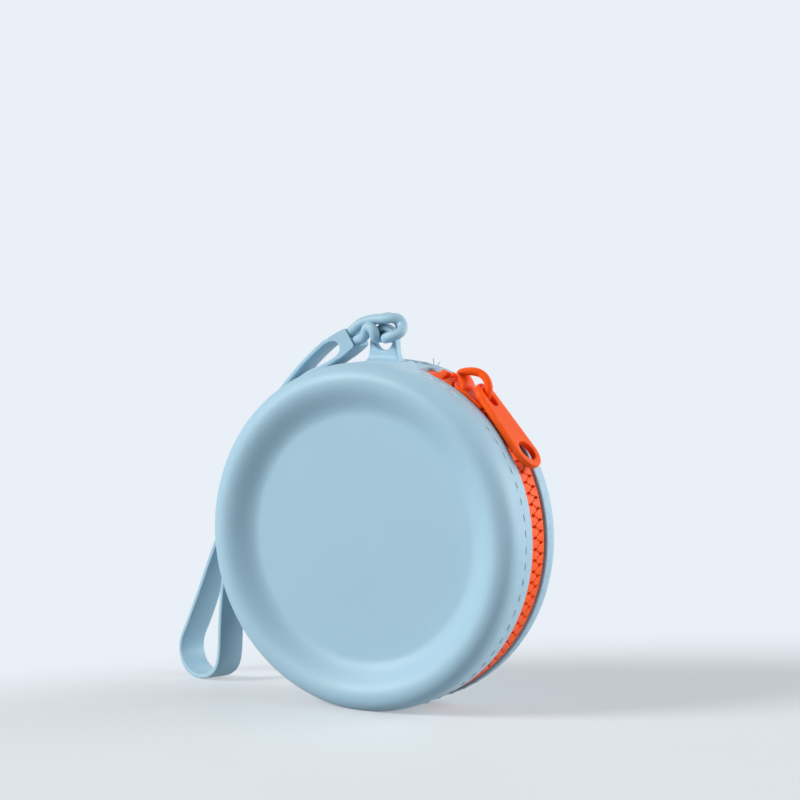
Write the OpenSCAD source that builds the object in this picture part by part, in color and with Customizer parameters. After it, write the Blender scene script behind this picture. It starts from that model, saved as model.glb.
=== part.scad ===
// Round silicone coin pouch with a moulded zip, a pull tab and a wrist strap.
// The front faces -Y, the zip is on the +X side, and Z = 0 is the surface it stands on.

/* [Body] */
// Radius of the round body
body_r = 42; // [38:0.5:48]
// Thickness of the body from front to back
body_t = 26; // [22:0.5:32]
// Wall of the moulded shell
wall = 2; // [1.6:0.1:2.3]
// Depth of the round recess in each face
recess_d = 4; // [2.5:0.1:4.5]
// Radius of the flat floor of the recess
recess_r = 29.2; // [26:0.2:31]
// Width of the rim, from its crest to the side wall
rim_w = 4.2; // [3.8:0.1:5]
// Depth of the rounding from the crest to the side wall, as a share of the thickness
corner_share = 0.1846; // [0.16:0.0002:0.2]
// Depth of the small flat that the body stands on
foot_flat = 0.4; // [0.3:0.05:0.6]

/* [Zip opening] */
// Clock angle where the slot starts
slot_from = 14; // [12:0.5:16]
// Clock angle where the slot ends
slot_to = 166; // [160:0.5:167]
// Width of the slot
slot_w = 7.5; // [7.4:0.1:8.2]
// How far the slot lies behind the middle of the body, as a share of the thickness
slot_back_share = 0.0885; // [0.08:0.0005:0.092]
// Width of the strip of front wall that bends when the mouth opens
web_w = 20; // [16:1:22]

/* [Zip] */
// Width of the closed chain of teeth
chain_w = 5.6; // [5:0.1:5.6]
// Distance between teeth in one row
tooth_pitch = 2.6; // [2.5:0.1:3.2]
// Height of a tooth, measured outwards
tooth_h = 2.4; // [2:0.1:2.6]
// Length that a tooth head reaches past the middle of the chain
tooth_hook = 0.4; // [0.3:0.05:0.45]
// Thickness of the zip tape
tape_t = 0.5; // [0.4:0.05:0.7]
// How far the outside of the teeth lies below the outside of the body
tooth_sink = 0.6; // [0.5:0.1:0.8]
// Distance from the front edge of the slot to its row of stitches
seam_front_off = 3.6; // [2.5:0.1:4]
// Place of the rear row of stitches, as a share of the flat wall behind the slot
seam_rear_share = 0.6; // [0.5:0.05:0.7]
// Length of one stitch
stitch_len = 2.3; // [1.6:0.1:2.8]
// Distance between stitches
stitch_pitch = 3.8; // [3.4:0.1:5]
// Radius of the sewing thread
thread_r = 0.25; // [0.15:0.05:0.35]

/* [Slider] */
// Clock angle of the middle of the slider when the zip is closed
slider_clock = 33.5; // [32:0.5:36]
// Length of the slider along the chain
slider_len = 12; // [11:0.2:13]
// Thickness of the outer blade of the slider
blade_t = 0.9; // [0.8:0.05:1.2]
// Thickness of the inner blade of the slider
under_t = 1.4; // [1:0.1:1.6]
// Radius of the bar that makes the bail
bail_bar_r = 0.95; // [0.8:0.05:1]
// Radius of the arch of the bail at the middle of its bar
bail_arch_r = 3.8; // [3.7:0.1:4]

/* [Pull tab] */
// Length of the pull tab from its pivot to its round end
puller_len = 23.6; // [20:0.2:26]
// Width of the pull tab at the bail
puller_top_w = 7.2; // [6.4:0.1:7.6]
// Width of the pull tab at its round end
puller_end_w = 9.2; // [8.6:0.1:10]
// Thickness of the pull tab
puller_t = 1.6; // [1.4:0.1:1.7]
// Radius of the eye in the round end
puller_eye_r = 2.65; // [2:0.05:3]

/* [Hanger] */
// Height of the eye of the hanger above the side wall
hanger_eye_h = 5; // [4.8:0.1:5.2]
// Radius of the eye of the hanger
hanger_eye_r = 2.6; // [2.6:0.05:2.7]
// Radius of the round head of the hanger
hanger_head_r = 3.7; // [3.5:0.05:3.8]
// Width of the hanger where it leaves the wall
hanger_base_w = 9.4; // [8.6:0.2:11]
// Thickness of the hanger
hanger_t = 2.5; // [2:0.1:2.6]

/* [Strap] */
// Radius of the round cord that is tied to the hanger
cord_r = 1.15; // [0.9:0.05:1.15]
// Width of the flat band, and of the collar
band_w = 7.3; // [6:0.1:8]
// Thickness of the flat band
band_t = 1.2; // [1:0.05:1.3]
// Length of the collar that joins the cord to the band
collar_len = 4.8; // [4.2:0.1:5]
// Height of the collar at the cord
collar_cord_h = 5.2; // [5:0.1:5.6]
// Height of the collar at the band
collar_band_h = 6; // [5.8:0.1:6.2]

/* [Hidden] */
$fn = 64;

silicone = "#a6c7da";
tooth_orange = "#eb6835";
tape_orange = "#dd5d30";

// Overrun of every cut, and the smallest gap between pieces that move past each other
over = 1;
run_gap = 0.3;

// Places on the body, measured from its centre
drum_z = body_r - foot_flat;
half_t = body_t / 2;
inner_r = body_r - wall;
crest_r = body_r - rim_w;
corner_d = body_t * corner_share;
zip_y = body_t * slot_back_share;
slot_front = zip_y - slot_w / 2;
slot_rear = zip_y + slot_w / 2;
rear_land = half_t - corner_d - slot_rear;
seam_rear_off = rear_land * seam_rear_share;
// The bending strip ends a little past the ends of the slot
chord_past = 0.8;
chord_x = body_r * sin(slot_from) + chord_past;
web_x = chord_x - web_w;

// Steps along the slope of the recess and round the corner of the rim
slope_steps = 8;
corner_steps = 6;

// Zip places
tooth_top_r = body_r - tooth_sink;
tooth_mid_r = tooth_top_r - tooth_h / 2;
tooth_low_r = tooth_top_r - tooth_h;
pitch_angle = tooth_pitch / tooth_mid_r * 180 / PI;
stop_angle = 2.6;
row_from = slot_from + stop_angle;
row_to = slot_to - stop_angle;
tooth_count = floor((row_to - row_from) / pitch_angle);
chain_half = chain_w / 2;
base_share = 0.36;
head_share = 0.2;
neck_share = 0.16;
tooth_half_s = tooth_pitch * base_share;
head_half_s = tooth_pitch * head_share;
neck_y = chain_w * neck_share;
tape_r = inner_r;
// Tape past each seam
tape_margin_front = 1.1;
tape_rear_share = 0.83;
tape_rear_y = slot_rear + rear_land * tape_rear_share;
tape_front_y = slot_front - seam_front_off - tape_margin_front;

// Slider places
slider_half_angle = slider_len / 2 / body_r * 180 / PI;
slider_from = slider_clock - slider_half_angle;
slider_to = slider_clock + slider_half_angle;
blade_gap = 0.2;
blade_low_r = tooth_top_r + blade_gap;
blade_top_r = blade_low_r + blade_t;
blade_half_w = slot_w / 2 - run_gap;
// The outer blade narrows towards the mouth of the slider
prow_share = 0.32;
prow_len_share = 0.28;
prow_past = 0.15;
under_top_r = tooth_low_r - run_gap;
under_low_r = under_top_r - under_t;
blade_mid_r = blade_low_r + blade_t / 2;
under_mid_r = under_top_r - under_t / 2;
flange_low_r = tape_r - tape_t - run_gap;
under_lip = 1.6;
under_half_w = chain_half + under_lip;
flange_gap = 0.2;
flange_share = 0.31;
post_share = 0.19;
flange_from = slider_to - 2 * slider_half_angle * flange_share;
post_half_w = 0.3;
post_to = slider_from + 2 * slider_half_angle * post_share;
// The rows part between these two clock angles, so that they pass each side of the slider's post
part_to = flange_from;
part_from = post_to;
part_edge_gap = 0.1;
part_max = slot_w / 2 - chain_half - part_edge_gap;

// Bail and pull tab places
bail_ahead = 0.5;
bail_leg_h = 1.1;
// The rear foot of the bail slopes down to the mouth of the slider
bail_turn = 127;
bail_turn_past = 4;
foot_lap = 0.1;
foot_start = 0.5;
foot_reach = 7.2;
foot_deep = 2;
foot_edge = 0.1;
bail_clock = slider_clock + bail_ahead;
bail_base_r = blade_top_r + bail_leg_h;
foot_end = slider_len / 2 + bail_ahead / 180 * PI * bail_base_r - foot_edge;
puller_bar_r = puller_t / 2;
bar_gap = 0.95;
pivot_off = bail_arch_r - bail_bar_r - bar_gap - puller_bar_r;
pivot_clock = bail_clock + pivot_off / bail_base_r * 180 / PI;
pivot_h = 2.1;
pivot_r = blade_top_r + pivot_h;
puller_tilt = 15.4;
window_gap = 0.45;
window_half_w = bail_bar_r + window_gap;
window_len = 6;

// Hanger and strap places
hanger_fore = 0.3;
hanger_y = zip_y - hanger_fore;
hanger_eye_z = body_r + hanger_eye_h;
collar_at = [-8, 2, 47.5];
collar_fall = 32;
collar_dir = [-cos(collar_fall), 0, -sin(collar_fall)];
collar_up = [-sin(collar_fall), 0, cos(collar_fall)];
socket_off = collar_cord_h / 4;
socket_fore = [0, -1.8, 0];
leg_off = collar_band_h / 2 - band_t / 2;
leg_straight = 1;
notch_lip = 0.6;
band_twist = 20;
twist_from_z = 5;
twist_to_z = -25;

// Route of the round cord: from the upper socket over the hanger, through its eye, and back
cord_route = [
    [-7.5, 0.2, 49.6], [-6.1, 0.3, 50.7], [-4.4, 0.4, 51.4], [-1.6, 0, 51.9],
    [1, -0.3, 52.1], [2.9, 0, 52.3], [4.2, 0.7, 52.1], [5, 1.1, 51.2],
    [5.6, 0.6, 50.1], [5.7, -0.4, 49.1], [4.9, -1.2, 48.4], [3.8, -1.5, 48.1],
    [2.6, -1.4, 47.7], [1.6, -0.6, 47.4], [1.25, 0.8, 47.5], [1.25, 3.2, 47.5],
    [1.9, 4.8, 48.2], [2.6, 5, 49.9], [2.2, 3.8, 51.7], [0.3, 2.8, 52.3],
    [-1.5, 3.6, 51.8], [-2.2, 4.9, 50.2], [-1.8, 4.9, 48.4], [-1.25, 3.2, 47.5],
    [-1.25, 0.8, 47.5], [-1.15, -0.3, 47.35], [-1, -1.2, 47.7], [-1, -1.7, 48.7],
    [-1.5, -1.75, 49.7], [-2.5, -1.5, 50.1], [-3.5, -1.1, 49.5], [-4, -0.7, 48.5],
    [-4.6, -0.4, 47.7], [-5.4, -0.1, 47.2], [-6.3, 0.15, 46.95]
];

// Route of the flat band: down the outer leg, round its end on the floor, up the inner leg
band_route = [
    [-16.2, 2.3, 45.4], [-22.8, 3.6, 40.3], [-31.6, 5.4, 31.8], [-38.7, 6.1, 22.6],
    [-43.2, 6, 12], [-45.7, 5.2, 4], [-47.6, 4.6, -2.5], [-50.9, 5.2, -10],
    [-55.2, 6.5, -19.4], [-59.2, 8, -27], [-61.9, 8.8, -32], [-62.5, 9.1, -35.6],
    [-60.8, 8.4, -39], [-57.8, 7.4, -40.7], [-54.6, 6.2, -41], [-51.2, 5, -40.2],
    [-48.2, 3.9, -38], [-46.8, 3.4, -34.4], [-46.4, 3.3, -28], [-45.9, 3.2, -20],
    [-45, 3, -11.5], [-44.1, 3.2, -3], [-43.2, 3.6, 5], [-40.8, 4, 14.6],
    [-36, 4, 24.1], [-29.6, 3.6, 31.6], [-22.2, 2.8, 37.2], [-15, 2.2, 40.5]
];

// Vector and spline helpers for the strap
function unit(v) = v / norm(v);
function spline(a, b, c, d, t) =
    (2 * b + (c - a) * t + (2 * a - 5 * b + 4 * c - d) * t * t + (3 * b - a - 3 * c + d) * t * t * t) / 2;
function finer(p, k) = concat(
    [for (i = [0 : len(p) - 2]) for (j = [0 : k - 1])
        spline(p[max(i - 1, 0)], p[i], p[i + 1], p[min(i + 2, len(p) - 1)], j / k)],
    [p[len(p) - 1]]
);
function heading(p, i, first, last) =
    i == 0 ? first : i == len(p) - 1 ? last : unit(p[i + 1] - p[i - 1]);
function square_to(v, t) = unit(v - (v * t) * t);

// Round sections are carried along the route without twisting
function carried(p, first, last, seed) = [
    for (i = 0, u = square_to(seed, first); i < len(p);
         i = i + 1, u = i < len(p) ? square_to(u, heading(p, i, first, last)) : u) u
];
function round_rings(p, r, first, last, seed, sides) =
    let (us = carried(p, first, last, seed))
    [for (i = [0 : len(p) - 1])
        let (t = heading(p, i, first, last), u = us[i], v = cross(t, u))
        [for (j = [0 : sides - 1]) p[i] + r * (cos(360 * j / sides) * u + sin(360 * j / sides) * v)]];

// Flat sections keep their width level, turned by the twist of the band
function band_turn(z) = band_twist * min(max((twist_from_z - z) / (twist_from_z - twist_to_z), 0), 1);
function flat_rings(p, w, t, first, last) =
    [for (i = [0 : len(p) - 1])
        let (
            h = heading(p, i, first, last),
            turn = band_turn(p[i].z),
            u = square_to([sin(turn), cos(turn), 0], h),
            v = cross(h, u),
            e = t / 4
        )
        [for (c = [[w / 2, e - t / 2], [w / 2, t / 2 - e], [w / 2 - e, t / 2], [e - w / 2, t / 2],
                   [-w / 2, t / 2 - e], [-w / 2, e - t / 2], [e - w / 2, -t / 2], [w / 2 - e, -t / 2]])
            p[i] + c.x * u + c.y * v]];

module swept(rings) {
    n = len(rings[0]);
    m = len(rings);
    polyhedron(
        points = [for (ring = rings) for (q = ring) q],
        faces = concat(
            [[for (j = [0 : n - 1]) j]],
            [for (i = [0 : m - 2]) for (j = [0 : n - 1]) [i * n + j, (i + 1) * n + j, (i + 1) * n + (j + 1) % n]],
            [for (i = [0 : m - 2]) for (j = [0 : n - 1]) [i * n + j, (i + 1) * n + (j + 1) % n, i * n + (j + 1) % n]],
            [[for (j = [n - 1 : -1 : 0]) (m - 1) * n + j]]
        )
    );
}

// Lifts a piece drawn round the body's centre to where the body stands
module seated() {
    translate([0, 0, drum_z]) children();
}

// Local frame on the rim: X runs clockwise along it, Z points outwards
module at_clock(clock, r) {
    rotate([0, clock, 0]) translate([0, 0, r]) children();
}

// Part of a tube round the body's axis, between two clock angles
module arc_block(clock0, clock1, r0, r1, y0, y1) {
    rotate([-90, 0, 0])
        rotate([0, 0, clock0 - 90])
            rotate_extrude(angle = clock1 - clock0, $fn = 180)
                translate([r0, y0])
                    square([r1 - r0, y1 - y0]);
}

// Half profile of the shell from its axis to the side wall, as radius and height above mid-plane
function face_profile(inset) = concat(
    [[0, half_t - recess_d - inset]],
    [for (i = [0 : slope_steps])
        let (s = i / slope_steps)
        [recess_r + (crest_r - recess_r) * s, half_t - inset - recess_d * (1 + cos(180 * s)) / 2]],
    [for (i = [1 : corner_steps])
        let (a = 90 * i / corner_steps)
        [crest_r + (body_r - inset - crest_r) * sin(a), half_t - corner_d + (corner_d - inset) * cos(a)]]
);
function flipped(p) = [for (i = [len(p) - 1 : -1 : 0]) [p[i].x, -p[i].y]];

module full_shell() {
    rotate([-90, 0, 0])
        rotate_extrude($fn = 180)
            difference() {
                polygon(concat(face_profile(0), flipped(face_profile(0))));
                polygon(concat(face_profile(wall), flipped(face_profile(wall))));
            }
}

module slot_cut() {
    arc_block(slot_from, slot_to, inner_r - over, body_r + over, slot_front, slot_rear);
}

// Block in front of the zip plane, between two places across the body
module front_block(x0, x1) {
    translate([x0, -half_t - over, -body_r - over])
        cube([x1 - x0, half_t + over + zip_y, 2 * (body_r + over)]);
}

module below_foot() {
    translate([-body_r, -half_t - over, -body_r - over])
        cube([2 * body_r, body_t + 2 * over, over + foot_flat]);
}

module hanger() {
    root_z = body_r - wall / 2;
    root_half = hanger_base_w / 2;
    translate([0, hanger_y + hanger_t / 2, 0])
        rotate([90, 0, 0])
            linear_extrude(hanger_t) {
                translate([0, hanger_eye_z]) circle(hanger_head_r);
                polygon([
                    [-root_half, root_z], [root_half, root_z],
                    [hanger_head_r, hanger_eye_z], [-hanger_head_r, hanger_eye_z]
                ]);
            }
}

module hanger_eye() {
    translate([0, hanger_y, hanger_eye_z])
        rotate([90, 0, 0])
            cylinder(r = hanger_eye_r, h = hanger_t + 2 * over, center = true);
}

module shell_body() {
    color(silicone) seated()
        difference() {
            union() {
                difference() {
                    full_shell();
                    slot_cut();
                    front_block(web_x, body_r + over);
                }
                hanger();
            }
            hanger_eye();
            below_foot();
        }
}

module flex_web() {
    color(silicone) seated()
        difference() {
            intersection() {
                full_shell();
                front_block(web_x, chord_x);
            }
            slot_cut();
            hanger();
            below_foot();
        }
}

module shell_flap() {
    color(silicone) seated()
        difference() {
            intersection() {
                full_shell();
                front_block(chord_x, body_r + over);
            }
            slot_cut();
            below_foot();
        }
}

// How far a row stands off its closed place at a clock angle
function parting(clock) = part_max * min(max((part_to - clock) / (part_to - part_from), 0), 1);
function rear_clock(i) = row_from + pitch_angle * (i + 0.25);
function front_clock(i) = row_from + pitch_angle * (i + 0.75);

// One tooth, drawn for the front row: base at the tape, head past the middle of the chain
module tooth() {
    translate([0, 0, -tooth_h / 2])
        linear_extrude(tooth_h)
            polygon([
                [-tooth_half_s, -chain_half], [tooth_half_s, -chain_half],
                [tooth_half_s, -neck_y], [head_half_s, -neck_y / 2],
                [head_half_s, tooth_hook / 2], [head_half_s / 2, tooth_hook],
                [-head_half_s / 2, tooth_hook], [-head_half_s, tooth_hook / 2],
                [-head_half_s, -neck_y / 2], [-tooth_half_s, -neck_y]
            ]);
}

module teeth_front() {
    color(tooth_orange) seated()
        for (i = [0 : tooth_count - 1])
            at_clock(front_clock(i), tooth_mid_r)
                translate([0, zip_y - parting(front_clock(i)), 0])
                    tooth();
}

module teeth_rear() {
    color(tooth_orange) seated()
        for (i = [0 : tooth_count - 1])
            at_clock(rear_clock(i), tooth_mid_r)
                translate([0, zip_y + parting(rear_clock(i)), 0])
                    mirror([0, 1, 0])
                        tooth();
}

// Tape along one row: it meets the base of each tooth, so it is cut back in steps where the rows part
module tape_strip(side, edge_y, clock_of) {
    steps = ceil((part_to - slot_from) / pitch_angle);
    near = zip_y + side * chain_half;
    difference() {
        arc_block(
            slot_from + stop_angle / 3, slot_to - stop_angle / 3,
            tape_r - tape_t, tape_r, min(near, edge_y), max(near, edge_y)
        );
        for (i = [0 : steps - 1])
            if (parting(clock_of(i)) > parting(clock_of(i + 1)))
                tape_step(clock_of(i) + pitch_angle / 2, side, near + side * parting(clock_of(i)));
    }
}

// Each step starts short of the tape, and the deeper ones end sooner
module tape_step(clock, side, y) {
    inner = zip_y - side * over;
    arc_block(0, clock, tape_r - tape_t - over, tape_r + over, min(inner, y), max(inner, y));
}

module tape_rear() {
    color(tape_orange) seated()
        tape_strip(1, tape_rear_y, function(i) rear_clock(i));
}

module tape_front() {
    color(tape_orange) seated()
        tape_strip(-1, tape_front_y, function(i) front_clock(i));
}

// A stop is a small block on the edge of the tape
module stop_block(clock, len, y0, y1) {
    at_clock(clock, tooth_mid_r)
        translate([-len / 2, y0, -tooth_h / 2])
            cube([len, y1 - y0, tooth_h]);
}

stop_share = 0.4;
stop_len = tooth_pitch * stop_share;
stop_clock = stop_angle / 2;

module top_stop_rear() {
    color(tooth_orange) seated()
        stop_block(slot_from + stop_clock, stop_len, zip_y + post_half_w, zip_y + chain_half + part_max);
}

module top_stop_front() {
    color(tooth_orange) seated()
        stop_block(slot_from + stop_clock, stop_len, zip_y - chain_half - part_max, zip_y - post_half_w);
}

module bottom_stop() {
    color(tooth_orange) seated()
        stop_block(slot_to - stop_clock, stop_len, zip_y - chain_half, zip_y + chain_half);
}

// One stitch lies on the wall, along the slot
module stitch(clock, y) {
    at_clock(clock, body_r + thread_r)
        translate([-stitch_len / 2, y, 0])
            rotate([0, 90, 0])
                cylinder(r = thread_r, h = stitch_len, $fn = 16);
}

stitch_angle = stitch_pitch / body_r * 180 / PI;
stitch_inset = 1.6;
stitch_count = floor((slot_to - slot_from - 2 * stitch_inset) / stitch_angle);

// The seam turns round the top end of the slot, above the strip that bends
end_across_shares = [0.62, 0.36, 0.1];
end_along_shares = [0.4, 0.8, 0.95];

module seam_front() {
    color(silicone) seated()
        for (i = [0 : stitch_count - 1])
            stitch(slot_from + stitch_inset + stitch_angle * (i + 0.5), slot_front - seam_front_off);
}

module seam_rear() {
    color(silicone) seated() {
        for (i = [0 : stitch_count - 1])
            stitch(slot_from + stitch_inset + stitch_angle * (i + 0.5), slot_rear + seam_rear_off);
        for (i = [0 : len(end_across_shares) - 1])
            stitch(slot_from - stitch_angle * end_along_shares[i], zip_y + slot_w * end_across_shares[i]);
    }
}

// Two loose ends of thread stand up at the top end of the rear seam
tail_len = 2.1;
tail_step = 0.4;
tail_angle = 1;
tail_lean = 9;
module thread_tails() {
    color("white") seated()
        for (i = [0 : 1])
            at_clock(slot_from + tail_angle * (i + 1), body_r)
                translate([0, slot_rear + tail_step * (i + 1), 0])
                    rotate([0, tail_lean * (2 * i - 1), 0])
                        cylinder(r = thread_r / 2, h = tail_len, $fn = 16);
}

// Outline of the outer blade from above: a point on the slope of its narrow end
function prow(u) = [
    slider_len * (u * prow_len_share - 1 / 2),
    blade_half_w * (prow_share + u * (1 - prow_share))
];

module outer_blade() {
    near = prow(-prow_past);
    far = prow(1 + prow_past);
    intersection() {
        arc_block(slider_from, slider_to, blade_low_r, blade_top_r, zip_y - blade_half_w, zip_y + blade_half_w);
        at_clock(slider_clock, inner_r)
            translate([0, zip_y, 0])
                linear_extrude(body_r - inner_r + blade_top_r - blade_low_r + over)
                    polygon([
                        [near.x, -near.y], [far.x, -far.y], [slider_len, -far.y],
                        [slider_len, far.y], [far.x, far.y], [near.x, near.y]
                    ]);
    }
}

module slider_body() {
    color(tooth_orange) seated() {
        outer_blade();
        arc_block(slider_from, slider_to, under_low_r, under_top_r, zip_y - under_half_w, zip_y + under_half_w);
        arc_block(slider_from, post_to, under_mid_r, blade_mid_r, zip_y - post_half_w, zip_y + post_half_w);
        for (side = [-1, 1]) {
            near = zip_y + side * (chain_half + flange_gap);
            far_top = zip_y + side * blade_half_w;
            far_low = zip_y + side * under_half_w;
            arc_block(flange_from, slider_to, tape_r + run_gap, blade_mid_r, min(near, far_top), max(near, far_top));
            arc_block(flange_from, slider_to, under_mid_r, flange_low_r, min(near, far_low), max(near, far_low));
        }
    }
}

// Sloping foot of the bail, drawn with X along the slope from the bar and Y outwards from the arch
module bail_foot() {
    outer = bail_arch_r + bail_bar_r + foot_lap;
    inner = bail_arch_r - bail_bar_r - foot_lap;
    half = bail_bar_r + foot_lap;
    intersection() {
        rotate([90, 0, 0])
            rotate([0, 0, bail_turn - 90])
                translate([0, 0, -half])
                    linear_extrude(2 * half)
                        polygon([
                            [foot_start, inner], [foot_start, outer],
                            [-foot_reach, outer], [-foot_reach, inner - foot_deep]
                        ]);
        translate([-foot_end, -half - over, -foot_reach])
            cube([foot_end + over, 2 * (half + over), foot_reach + outer + over]);
    }
}

module slider_bail() {
    color(tooth_orange) seated()
        difference() {
            at_clock(bail_clock, bail_base_r)
                translate([0, zip_y, 0]) {
                    rotate([90, 0, 0])
                        rotate_extrude(angle = bail_turn + bail_turn_past)
                            translate([bail_arch_r, 0])
                                circle(bail_bar_r, $fn = 32);
                    translate([bail_arch_r, 0, -2 * bail_bar_r])
                        cylinder(r = bail_bar_r, h = 2 * bail_bar_r, $fn = 32);
                    bail_foot();
                }
            rotate([90, 0, 0])
                cylinder(r = blade_top_r, h = body_t, center = true, $fn = 180);
        }
}

module pull_tab() {
    end_r = puller_end_w / 2;
    end_x = puller_len - end_r;
    head_r = puller_top_w / 2;
    head_x = head_r - puller_bar_r;
    lean = asin((end_r - head_r) / (end_x - head_x));
    side = [-sin(lean), cos(lean)];
    color(tooth_orange) seated()
        at_clock(pivot_clock, pivot_r)
            translate([0, zip_y, 0])
                rotate([0, puller_tilt, 0])
                    difference() {
                        translate([0, 0, -puller_t / 2])
                            linear_extrude(puller_t) {
                                translate([head_x, 0]) circle(head_r);
                                polygon([
                                    [head_x + head_r * side.x, -head_r * side.y],
                                    [end_x + end_r * side.x, -end_r * side.y],
                                    [end_x + end_r * side.x, end_r * side.y],
                                    [head_x + head_r * side.x, head_r * side.y]
                                ]);
                                translate([end_x, 0]) circle(end_r);
                            }
                        for (x = [puller_bar_r + window_half_w, window_len - window_half_w])
                            translate([x, 0, -puller_t])
                                cylinder(r = window_half_w, h = 2 * puller_t);
                        translate([puller_bar_r + window_half_w, -window_half_w, -puller_t])
                            cube([window_len - puller_bar_r - 2 * window_half_w, 2 * window_half_w, 2 * puller_t]);
                        translate([end_x, 0, -puller_t])
                            cylinder(r = puller_eye_r, h = 2 * puller_t);
                    }
}

module strap_cord() {
    upper = collar_at + socket_off * collar_up + socket_fore;
    lower = collar_at - socket_off * collar_up + socket_fore;
    route = finer(concat([upper], cord_route, [lower]), 2);
    color(silicone) seated()
        swept(round_rings(route, cord_r, -collar_dir, collar_dir, [0, 1, 0], 8));
}

module strap_collar() {
    notch_r = collar_band_h / 2 - band_t - notch_lip;
    color(silicone) seated()
        translate([collar_at.x, collar_at.y + band_w / 2, collar_at.z])
            rotate([90, 0, 0])
                rotate([0, 0, 180 + collar_fall])
                    linear_extrude(band_w)
                        difference() {
                            polygon([
                                [0, -collar_cord_h / 2], [collar_len, -collar_band_h / 2],
                                [collar_len, collar_band_h / 2], [0, collar_cord_h / 2]
                            ]);
                            translate([collar_len, 0]) circle(notch_r);
                        }
}

module wrist_band() {
    fork = collar_at + collar_len * collar_dir;
    outer = fork + leg_off * collar_up;
    inner = fork - leg_off * collar_up;
    route = finer(
        concat([outer, outer + leg_straight * collar_dir], band_route, [inner + leg_straight * collar_dir, inner]), 2
    );
    color(silicone) seated()
        swept(flat_rings(route, band_w, band_t, collar_dir, -collar_dir));
}

shell_body();
flex_web();
shell_flap();
tape_rear();
tape_front();
teeth_rear();
teeth_front();
top_stop_rear();
top_stop_front();
bottom_stop();
seam_rear();
seam_front();
thread_tails();
slider_body();
slider_bail();
pull_tab();
strap_cord();
strap_collar();
wrist_band();
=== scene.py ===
import math

import bmesh
import bpy
from mathutils import Matrix, Vector


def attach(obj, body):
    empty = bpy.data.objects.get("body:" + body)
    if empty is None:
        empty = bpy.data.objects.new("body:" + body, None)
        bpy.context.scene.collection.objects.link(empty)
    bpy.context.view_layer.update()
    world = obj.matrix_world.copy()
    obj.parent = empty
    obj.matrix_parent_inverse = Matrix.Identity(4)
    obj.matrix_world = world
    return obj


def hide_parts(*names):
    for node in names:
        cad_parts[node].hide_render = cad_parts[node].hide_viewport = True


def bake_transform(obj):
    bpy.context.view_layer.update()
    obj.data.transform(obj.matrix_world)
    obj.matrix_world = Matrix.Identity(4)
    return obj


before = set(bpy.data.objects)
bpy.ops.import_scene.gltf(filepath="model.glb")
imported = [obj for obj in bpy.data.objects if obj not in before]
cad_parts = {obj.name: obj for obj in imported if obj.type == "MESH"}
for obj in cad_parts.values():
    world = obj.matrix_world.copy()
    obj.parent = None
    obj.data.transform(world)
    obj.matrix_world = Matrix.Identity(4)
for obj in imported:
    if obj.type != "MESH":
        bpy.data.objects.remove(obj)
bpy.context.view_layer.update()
scene = bpy.context.scene


# Sizes are in millimetres. R is a distance from the middle of the round body, and a clock
# angle is in degrees clockwise from the top, seen from the front.

# Shell
BODY_R = 42.0
HALF_T = 13.0
WALL = 2.0
RECESS_D = 4.0
RECESS_R = 29.2
CREST_R = 37.8
CORNER_D = 4.8
SEAT_Z = 41.6

# Slot and seams
ZIP_Y = 2.3
SLOT_HALF = 3.75
SLOT_FROM = 14.0
SLOT_TO = 166.0
SLOT_ROUND = 1.8
SEAM_FRONT_Y = ZIP_Y - SLOT_HALF - 3.6
SEAM_REAR_Y = ZIP_Y + SLOT_HALF + 1.3
STITCH_PITCH = 3.8
STITCH_LEN = 2.3
PUCKER_FROM_R = 40.5
PUCKER_WIDTH = 0.8
PUCKER_DEPTH = 0.6
PUCKER_PHASE = 0.01

# Zip
CHAIN_HALF = 2.8
TOOTH_PITCH = 2.6
TOOTH_H = 2.4
TOOTH_MID_R = 40.2
STOP_ANGLE = 2.6
STOP_MID_ANGLE = 1.3
STOP_HALF_LEN = 0.52
STOP_GAP = 0.3
SLIDER_CLOCK = 33.5
SLIDER_HALF_LEN = 6.0
BAIL_CLOCK = 34.0
BAIL_BASE_R = 43.6
BAIL_ARCH_R = 3.8
BAIL_BAR_R = 0.95
PIVOT_CLOCK = 35.4455
PIVOT_R = 44.6
PULLER_TILT = 15.4

# Strap
CORD_SOFT_R = 1.25
BAND_W = 7.3
BAND_T = 1.2
BAND_SOFT = 0.38

# An edge is shown sharp where its faces turn more than this, in degrees
SHARP_EDGE = 38
SHARP_ROUND = 60

# An edge is rounded where its faces turn more than this, in degrees
RIM_TURN = 50
SLOT_RIM_TURN = 60

# Corners of a piece closer than this are joined
MERGE_DIST = 0.002

ALONG_X = Vector((1, 0, 0))
ALONG_Y = Vector((0, 1, 0))
ALONG_Z = Vector((0, 0, 1))

# Turns millimetres round the middle of the body into metres above the floor
SEAT = Matrix.Translation((0, 0, SEAT_Z / 1000)) @ Matrix.Scale(0.001, 4)


# Camera: its place in metres, and its angles down and round in degrees

CAMERA_AT = (0.2957, -0.50319, 0.12017)
CAMERA_DOWN = 4.5192
CAMERA_TURN = 29.9955
CAMERA_LENS = 109.08

camera = bpy.data.objects.new("camera", bpy.data.cameras.new("camera"))
scene.collection.objects.link(camera)
scene.camera = camera
camera.location = CAMERA_AT
camera.rotation_euler = (math.radians(90 - CAMERA_DOWN), 0, math.radians(CAMERA_TURN))
camera.data.lens = CAMERA_LENS
camera.data.sensor_width = 36
camera.data.clip_start = 0.05
camera.data.clip_end = 20


# Finishes

def set_inputs(node, values):
    for name, value in values.items():
        node.inputs[name].default_value = value


def new_finish(name, color, roughness):
    finish = bpy.data.materials.new(name)
    finish.use_nodes = True
    shader = finish.node_tree.nodes["Principled BSDF"]
    set_inputs(shader, {"Base Color": (*color, 1), "Roughness": roughness})
    return finish, finish.node_tree, shader


def add_node(tree, kind, **settings):
    node = tree.nodes.new(kind)
    for key, value in settings.items():
        setattr(node, key, value)
    return node


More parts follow.
